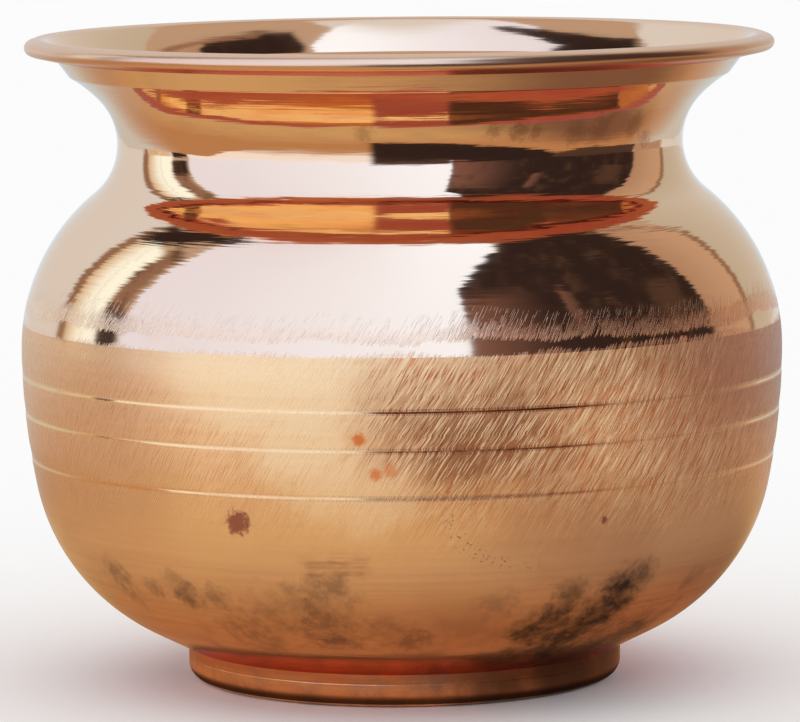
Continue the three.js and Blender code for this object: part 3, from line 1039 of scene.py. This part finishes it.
class LOTA_OT_belly_bowl(bpy.types.Operator):
    """Spin the belly with its turned grooves, its bottom and the tongue that stands in the neck"""

    bl_idname = "lota.belly_bowl"
    bl_label = "Belly Bowl"

    def execute(self, context):
        settings = context.scene.lota
        pot = Pot(settings)
        shells, joints = settings.shells, settings.joints
        line, sheet, datum = pot.line, shells.sheet, pot.widest
        inset = sheet + joints.braze_gap
        step_lead = sheet * math.tan(math.pi / 8)
        tongue_low = pot.seam_low + inset
        tongue_high = pot.seam_high + joints.lap_length
        section = Section()
        brims, floors = [], []
        start = 0.0
        for drop, depth in zip(shells.groove_drops, shells.groove_depths):
            deepest = pot.widest - drop + shells.groove_width / 2
            section.follow(line, start, deepest - shells.groove_width, 0.0, datum)
            brims.append(section.last)
            floors.append(section.to(line.at(deepest, depth), deepest - datum))
            start = deepest + shells.groove_fade
            brims.append(section.to(line.at(start), start - datum))
        section.follow(line, start, pot.seam_low, 0.0, datum)
        section.follow(line, tongue_low, tongue_high, inset, datum)
        section.follow(line, tongue_high, tongue_low - step_lead, inset + sheet, datum)
        section.follow(line, pot.seam_low - step_lead, 0.0, sheet, datum)
        section.ease(floors, shells.groove_width * GROOVE_FLOOR_EASE, 4)
        section.ease(brims, shells.groove_width * GROOVE_BRIM_EASE, 3)
        copper = brushed_copper(settings)
        add_piece(context, "brushed_belly", section, copper, "belly_bowl", closes=False)
        return {"FINISHED"}


class LOTA_OT_brazing(bpy.types.Operator):
    """Run the filler into the seam between the shells and into the corner of the foot"""

    bl_idname = "lota.brazing"
    bl_label = "Brazing"

    def execute(self, context):
        settings = context.scene.lota
        pot = Pot(settings)
        self.seam(context, settings, pot)
        self.fillet(context, settings, pot)
        return {"FINISHED"}

    def seam(self, context, settings, pot):
        depth = settings.shells.sheet
        section = Section()
        section.follow(pot.line, pot.seam_low, pot.seam_high, 0.0, pot.widest)
        section.to(pot.line.at(pot.seam_high - depth, depth), pot.seam_high - pot.widest)
        section.to(pot.line.at(pot.seam_low + depth, depth), pot.seam_low - pot.widest)
        add_piece(context, "seam_belt", section, seam_filler(settings), "seam_braze")

    def fillet(self, context, settings, pot):
        joints = settings.joints
        radius = pot.foot_radius - settings.foot.wall
        corner = Vector((radius, pot.under_cone(radius)))
        on_band = corner - Vector((0.0, joints.fillet_leg))
        on_bowl = corner - Vector((math.cos(pot.cone), math.sin(pot.cone))) * joints.fillet_leg
        middle = (on_band + on_bowl) / 2
        hollow = middle + (corner - middle).normalized() * joints.fillet_hollow
        section = Section()
        for point in (on_band, corner, on_bowl):
            section.to(point)
        dip = section.to(hollow)
        section.ease([dip], joints.fillet_leg * FILLET_EASE, 6)
        add_piece(context, "foot_fillet", section, dull_filler(settings), "foot_braze")


class LOTA_OT_rim_wire(bpy.types.Operator):
    """Lay the stiffening wire in the roll of the lip"""

    bl_idname = "lota.rim_wire"
    bl_label = "Rim Wire"

    def execute(self, context):
        settings = context.scene.lota
        lip = settings.lip
        pot = Pot(settings)
        wire_radius = lip.wire_diameter / 2
        middle = pot.line.at(pot.crest, -lip.crest_bend)
        middle.y += lip.crest_bend - wire_radius - lip.wire_gap
        section = Section()
        section.to(middle + Vector((wire_radius, 0.0)))
        section.round(middle, WIRE_SWEEP, 0.0, math.pi * lip.wire_diameter)
        add_piece(context, "lip_wire", section, drawn_wire(settings), "rim_wire")
        return {"FINISHED"}


class LOTA_OT_foot_ring(bpy.types.Operator):
    """Turn the foot ring with its rounded edge, tread and scribed line"""

    bl_idname = "lota.foot_ring"
    bl_label = "Foot Ring"

    def execute(self, context):
        settings = context.scene.lota
        foot = settings.foot
        pot = Pot(settings)
        band = Outline(pot.foot_radius - foot.corner - foot.tread, 0.0)
        band.straight(foot.tread).arc(foot.corner, QUARTER).straight(foot.height - foot.corner)
        line = band.length - foot.line_drop
        half = foot.line_width / 2
        section = Section()
        section.follow(band, 0.0, line - half)
        brims = [section.last]
        floor = section.to(band.at(line, foot.line_depth), line)
        brims.append(section.to(band.at(line + half), line + half))
        section.follow(band, line + half, band.length)
        section.follow(band, band.length - foot.wall * math.tan(pot.cone), 0.0, foot.wall)
        section.ease([floor], foot.line_width * LINE_FLOOR_EASE, 4)
        section.ease(brims, foot.line_width * LINE_BRIM_EASE, 2)
        add_piece(context, "standing_foot", section, foot_copper(settings), "foot_ring")
        return {"FINISHED"}


# Share of a haze in what two walls of the pot mirror, by the haze's colour.
HAZES = {"veil": 0.06, "glow": 0.85}
# Folds of cloth: cells per metre along each axis.
FOLD_CELLS = (9.0, 9.0, 1.6)
# The tan board, in millimetres: out from the axis, to the back, and about the middle of the pot's shadow.
BOARD_RIM = (100.0, 180.0)
BOARD_BEHIND = (30.0, 300.0)
FOOT_LIT = (34.0, 70.0)
# Painted contact shadow in the crack under the foot, out from the axis.
FOOT_CONTACT_SHADOW = (31.0, 34.0)
SHADE_MIDDLE = Vector((120.0, -10.0, 0.0)) * MM
SHADE_NARROWING = (0.6, 1.0, 0.0)
SHADE_REACH = (30.0, 125.0)
BOARD_HEIGHT = 0.5 * MM
CARD_LAYERS = ("across", "up")
STANDING_GRID = (48, 12)
SLICE_GRID = (24, 6)
LOW = (-1, -1)
# Name, colours from the front to the right, azimuths, elevations of the lower and the upper edge, share of
# the card distance, softness of the sides and the top, whether it has folds, haze. Angles are in degrees.
STANDING_CARDS = (
    ("backing", "top", (-180, 180), LOW, (90, 90), 1.10, (0, 0)),
    ("key_panel", "key key_front", (-94, 60), LOW, (83, 83), 1.00, (1.5, 8)),
    ("top_panel", "back", (-180, 180), (76, 76), (90, 90), 1.05, (0, 0)),
    ("back_left", "back", (-182, -124), LOW, (66, 50), 1.02, (0, 6)),
    ("back_right", "back_right back", (128, 182), LOW, (50, 66), 1.02, (0, 6)),
    ("dark_flag", "flag", (20, 108), LOW, (48, 59, 66, 69, 71, 66, 56), 0.97, (1.5, 2), True),
    ("warm_flag", "flag_warm flag", (20, 52), LOW, (47, 52), 0.965, (1.0, 14), True),
    ("low_flag", "flag_lit", (-13, 22), LOW, (6.3, 6.3), 0.96, (4, 3), False, "glow"),
    ("lit_strip", "flag_warm flag_lit", (54, 61), (22, 22), (42, 46), 0.96, (2.5, 5)),
    ("lit_patch", "flag_lit", (84, 104), (12, 12), (36, 34), 0.96, (8, 8)),
    ("tan_panel", "tan tan_edge", (104, 131), LOW, (61, 57, 51, 45, 36), 0.975, (2, 8)),
    ("tan_post", "brown", (127.5, 132.5), LOW, (40, 34), 0.965, (2, 6)),
    ("tan_beam", "brown", (88, 131), (64.5, 61.5, 57.5, 52.5, 47, 41, 30),
     (67, 63.5, 59.5, 54.5, 49, 43, 34), 0.965, (4, 1)),
    ("gold_strip", "gold cream", (-123, -111), LOW, (46, 46), 0.98, (1.5, 3)),
    ("cream_strip", "cream", (-113, -102), LOW, (44, 44), 0.975, (2.5, 3)),
    ("left_post", "brown", (-127, -120), LOW, (44, 46), 0.97, (2.5, 3)),
    ("left_flag", "flag", (-105, -93), (4.5, 4.5), (22, 22), 0.965, (2.5, 6), True),
    ("left_fold", "brown", (-106, -93), (12, 12), (48, 48), 0.967, (4, 3), True),
    ("top_flag", "flag", (-126, -72), (36, 41, 47, 57, 67, 72),
     (45, 51, 58.5, 65, 70.5, 74), 0.96, (6, 1.5)),
)
# Name, colours from near to far, azimuths, near and far edge as shares of the card distance, height over
# the floor in millimetres, softness of the sides, haze.
FLOOR_SLICES = (
    ("floor_back", "back", (128, 236), 0.08, 3.0, 0.3, 0),
    ("floor_post", "brown", (-127, -120), 0.08, 3.0, 0.3, 2.5),
    ("floor_gold", "gold", (-123, -112), 0.08, 3.0, 0.3, 1.5),
    ("floor_cream", "gold cream", (-113, -104), 0.08, 3.0, 0.3, 1.5),
    ("floor_left_flag", "flag", (-104, -93), 0.08, 3.0, 0.3, 1.5),
    ("floor_front", "near_floor", (-94, 20), 0.08, 0.15, 0.3, 1),
    ("floor_front_rise", "near_floor far_floor", (-94, 20), 0.15, 0.27, 0.3, 1),
    ("floor_front_far", "far_floor key_front", (-94, 20), 0.27, 3.0, 0.3, 1),
    ("floor_tan", "tan", (106, 130), 0.08, 3.0, 0.3, 1),
    ("floor_right", "flag_lit flag", (60, 107), 0.08, 3.0, 0.3, 1),
    ("floor_shade", "flag", (16, 63), 0.08, 3.0, 0.35, 2),
    ("floor_flag", "flag", (-13, 22), 0.08, 0.20, 0.4, 4, "glow"),
    ("floor_flag_far", "flag flag_lit", (-13, 22), 0.20, 1.00, 0.4, 4, "glow"),
)


def new_lamp(name):
    """A material that only gives out light."""
    material, bench, shader = new_material(name)
    bench.feed(shader["Base Color"], (0.0, 0.0, 0.0))
    bench.feed(shader["Specular IOR Level"], 0.0)
    bench.feed(shader["Emission Strength"], 1.0)
    return material, bench, shader


def mirrored_again(bench, shown, studio, haze):
    """What reaches the eye by way of two mirroring walls is hazier."""
    twice = bench.calc("GREATER_THAN", bench.add("LightPath").outputs["Ray Depth"], ONE_MIRROR)
    return bench.blend(bench.times(twice, HAZES[haze]), shown, getattr(studio, haze))


def card_light(studio, name, colours, way, soft, folded=False, haze="veil"):
    """A card that gives out light from its first colour to its last and thins out along its edges.

    The way is the vertex layer that the colours run along. The softness gives a share of the card for its
    two sides and one for its top.
    """
    material, bench, shader = new_lamp(name)
    layers = {
        layer: bench.add("Attribute", attribute_name=layer).outputs["Fac"] for layer in CARD_LAYERS}
    tints = [getattr(studio, tint) for tint in colours.split()]
    shown = bench.blend(bench.between(layers[way], 0.0, 1.0), tints[0], tints[-1])
    if folded:
        place = bench.vector("MULTIPLY", bench.add("TexCoord").outputs["Object"], FOLD_CELLS)
        folds = bench.ramp(bench.noise(place, 1.0, 4.0, 0.6), 0.48, 0.75)
        shown = bench.blend(folds, shown, studio.flag_lit)
    bench.feed(shader["Emission Color"], mirrored_again(bench, shown, studio, haze))
    side = bench.calc("MINIMUM", layers["across"], bench.without(layers["across"]))
    edges = (side, bench.without(layers["up"]))
    cover = [bench.ramp(edge, 0.0, share) for edge, share in zip(edges, soft) if share]
    if cover:
        bench.feed(shader["Alpha"], bench.times(*cover) if len(cover) == 2 else cover[0])
    return material


def board_light(studio):
    """The tan board: warm and dim next to the foot where only the pot lights it, with a painted contact
    shadow in the crack under the foot, dark in the pot's shadow, pale far behind.
    """
    material, bench, shader = new_lamp("tan_board")
    place = bench.add("TexCoord").outputs["Object"]
    out = bench.vector("LENGTH", bench.vector("MULTIPLY", place, (1.0, 1.0, 0.0)))
    behind = bench.add("SeparateXYZ", {"Vector": place}).outputs["Y"]
    drawn_in = bench.vector("MULTIPLY", bench.vector("SUBTRACT", place, SHADE_MIDDLE), SHADE_NARROWING)
    shown = bench.coat(
        studio.board,
        (bench.ramp(bench.noise(place, 18.0, 5.0, 0.6), 0.4, 0.75, 0.0, 0.3), studio.brown),
        (bench.change(out, BOARD_RIM), studio.near_floor),
        (bench.change(behind, BOARD_BEHIND), studio.board_back),
        (bench.change(bench.vector("LENGTH", drawn_in), SHADE_REACH, 1.0, 0.0), studio.board_shade),
        (bench.change(out, FOOT_LIT, 0.8, 0.0), studio.board_near),
        # Painted contact shadow in the crack under the foot.
        (bench.change(out, FOOT_CONTACT_SHADOW, 1.0, 0.0), studio.board_contact_shadow),
    )
    bench.feed(shader["Emission Color"], mirrored_again(bench, shown, studio, "glow"))
    return material


def paper(name, tint):
    """A plain matt surface."""
    material, bench, shader = new_material(name)
    bench.feed(shader["Base Color"], tint)
    bench.feed(shader["Roughness"], 1.0)
    bench.feed(shader["Specular IOR Level"], 0.0)
    return material


def add_stage(context, name, mesh, material, mirrored_only=True):
    """Puts a stage object in the scene. A card that is only mirrored casts no shadow or light."""
    data = bpy.data.meshes.new(name)
    mesh.to_mesh(data)
    mesh.free()
    data.materials.append(material)
    prop = bpy.data.objects.new(name, data)
    context.scene.collection.objects.link(prop)
    if mirrored_only:
        prop.visible_camera = False
        prop.visible_diffuse = False
        prop.visible_shadow = False


def part_way(values, share):
    """A value at a share of the way through evenly spaced values."""
    place = share * (len(values) - 1)
    step = min(int(place), len(values) - 2)
    return values[step] + (values[step + 1] - values[step]) * (place - step)


def ring_card(context, name, material, azimuths, grid, spot):
    """A card bent round the pot, from a grid whose layers keep how far across and up it a point lies."""
    columns, rows = grid
    mesh = bmesh.new()
    bmesh.ops.create_grid(mesh, x_segments=columns, y_segments=rows, size=0.5)
    layers = [mesh.verts.layers.float.new(layer) for layer in CARD_LAYERS]
    for vert in mesh.verts:
        shares = vert.co.x + 0.5, vert.co.y + 0.5
        for layer, share in zip(layers, shares):
            vert[layer] = share
        turn = math.radians(part_way(azimuths, shares[0]))
        reach, height = spot(*shares)
        vert.co = (reach * math.sin(turn), -reach * math.cos(turn), height)
    add_stage(context, name, mesh, material)


def standing_card(context, studio, name, colours, azimuths, lows, highs, share, soft, *rest):
    """A card that stands round the pot. Its edges pass through the elevations at even steps of azimuth."""
    distance = studio.card_distance * share
    shares = soft[0] / abs(azimuths[-1] - azimuths[0]), soft[1] / (max(highs) - min(lows))
    material = card_light(studio, name, colours, "across", shares, *rest)

    def spot(across, up):
        rise = math.radians(part_way((part_way(lows, across), part_way(highs, across)), up))
        return distance * math.cos(rise), distance * math.sin(rise)

    ring_card(context, name, material, azimuths, STANDING_GRID, spot)


def floor_card(context, studio, name, colours, azimuths, near, far, height, soft, haze="veil"):
    """A flat card on the floor, cut as a slice of a ring round the pot."""
    edges = studio.card_distance * near, studio.card_distance * far
    shares = soft / abs(azimuths[-1] - azimuths[0]), 0.0
    material = card_light(studio, name, colours, "up", shares, haze=haze)

    def spot(across, up):
        return part_way(edges, up), height * MM

    ring_card(context, name, material, azimuths, SLICE_GRID, spot)


class LOTA_OT_stage(bpy.types.Operator):
    """Set the camera, the pale floor, the soft light and the cards that the copper mirrors"""

    bl_idname = "lota.stage"
    bl_label = "Stage"

    def execute(self, context):
        studio = context.scene.lota.studio
        self.camera(context, studio)
        self.light(context)
        self.floor(context, studio)
        for card in STANDING_CARDS:
            standing_card(context, studio, *card)
        for card in FLOOR_SLICES:
            floor_card(context, studio, *card)
        self.board(context, studio)
        return {"FINISHED"}

    def camera(self, context, studio):
        data = bpy.data.cameras.new("camera")
        data.sensor_fit = "HORIZONTAL"
        data.lens = studio.focal_length
        data.shift_x = -studio.picture_nudge / studio.picture_width
        data.clip_start = 0.01
        data.clip_end = 100.0
        camera = bpy.data.objects.new("camera", data)
        camera.location = (0.0, -studio.camera_distance, studio.camera_height)
        camera.rotation_euler = (QUARTER - studio.camera_pitch, 0.0, 0.0)
        camera.rotation_euler.rotate_axis("Z", studio.camera_roll)
        context.scene.collection.objects.link(camera)
        context.scene.camera = camera
        context.scene.view_settings.view_transform = "Standard"

    def light(self, context):
        world = bpy.data.worlds.new("soft_light")
        world.use_nodes = True
        background = world.node_tree.nodes["Background"]
        background.inputs["Color"].default_value = (1.0, 1.0, 1.0, 1.0)
        background.inputs["Strength"].default_value = 1.0
        context.scene.world = world

    def floor(self, context, studio):
        mesh = bmesh.new()
        bmesh.ops.create_circle(mesh, cap_ends=True, segments=96, radius=studio.floor_radius)
        add_stage(context, "floor", mesh, paper("pale_floor", studio.floor), mirrored_only=False)

    def board(self, context, studio):
        mesh = bmesh.new()
        bmesh.ops.create_grid(mesh, x_segments=1, y_segments=1, size=0.5)
        left, right = -studio.board_left, studio.board_right
        front, back = -studio.board_front, studio.board_far
        middle = ((left + right) / 2, (front + back) / 2, BOARD_HEIGHT)
        bmesh.ops.scale(mesh, vec=(right - left, back - front, 1.0), verts=mesh.verts[:])
        bmesh.ops.translate(mesh, vec=middle, verts=mesh.verts[:])
        bmesh.ops.rotate(mesh, matrix=Matrix.Rotation(studio.board_turn, 3, "Z"), verts=mesh.verts[:])
        add_stage(context, "board", mesh, board_light(studio))


OPERATORS = (
    LOTA_OT_neck_shell,
    LOTA_OT_belly_bowl,
    LOTA_OT_brazing,
    LOTA_OT_rim_wire,
    LOTA_OT_foot_ring,
    LOTA_OT_stage,
)


class LOTA_PT_panel(bpy.types.Panel):
    """Pieces of the lota, its sizes and its finishes"""

    bl_label = "Lota"
    bl_idname = "LOTA_PT_panel"
    bl_space_type = "VIEW_3D"
    bl_region_type = "UI"
    bl_category = "Lota"

    def draw(self, context):
        layout = self.layout
        for operator in OPERATORS:
            layout.operator(operator.bl_idname)
        settings = context.scene.lota
        for name in settings.bl_rna.properties.keys():
            group = getattr(settings, name)
            if isinstance(group, bpy.types.PropertyGroup):
                box = layout.box()
                box.label(text=name.capitalize())
                for field in group.__annotations__:
                    box.prop(group, field)


CLASSES = (
    LotaShells,
    LotaLip,
    LotaJoints,
    LotaFoot,
    LotaFinish,
    LotaStudio,
    LotaSettings,
    *OPERATORS,
    LOTA_PT_panel,
)


def register():
    for each in CLASSES:
        bpy.utils.register_class(each)
    bpy.types.Scene.lota = PointerProperty(type=LotaSettings)


def unregister():
    del bpy.types.Scene.lota
    for each in reversed(CLASSES):
        bpy.utils.unregister_class(each)


def main():
    register()
    bpy.ops.lota.neck_shell()
    bpy.ops.lota.belly_bowl()
    bpy.ops.lota.brazing()
    bpy.ops.lota.rim_wire()
    bpy.ops.lota.foot_ring()
    bpy.ops.lota.stage()


if __name__ == "__main__":
    main()
